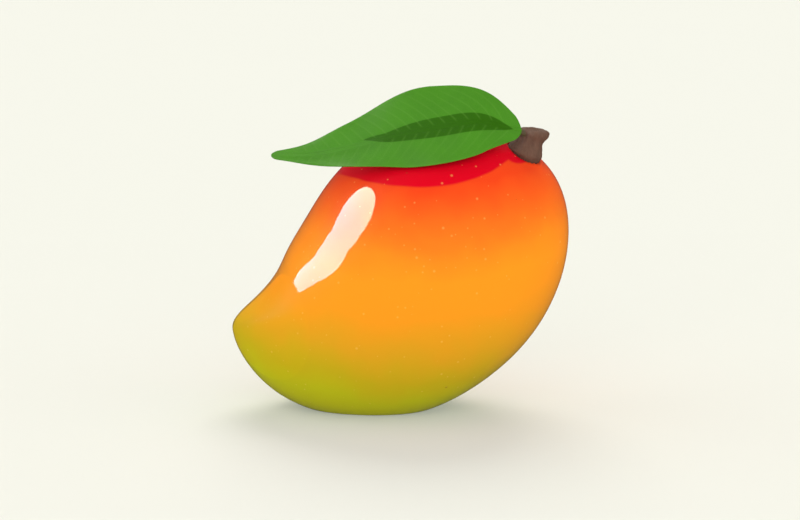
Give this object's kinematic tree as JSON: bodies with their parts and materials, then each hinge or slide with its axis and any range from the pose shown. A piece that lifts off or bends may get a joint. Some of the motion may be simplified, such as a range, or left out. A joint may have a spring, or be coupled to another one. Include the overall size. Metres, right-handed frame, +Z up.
{
  "type": "mango",
  "caption": "Ripe mango as picked: plump beaked fruit resting on a small flat spot, with a short cut stalk and a glossy leaf lying over its top.",
  "frame": {"origin": "on the surface that the mango rests on, under the middle of its length and of its thickness", "axes": "+X towards the stalk end, with the beak at -X; +Y away from the viewer, through the two cheeks; +Z up"},
  "size_m": [0.1176, 0.08, 0.1147],
  "materials": {
    "skin": "waxy ripe skin, crimson at the shoulder, through orange to olive green underneath",
    "bark": "dull brown bark with a paler cut face",
    "leaf": "leathery green leaf, glossy above, with a dark channel along its midrib"
  },
  "bodies": {
    "root": {"fruit": "skin", "stalk": "bark", "leaf": "leaf"}
  },
  "joints": []
}
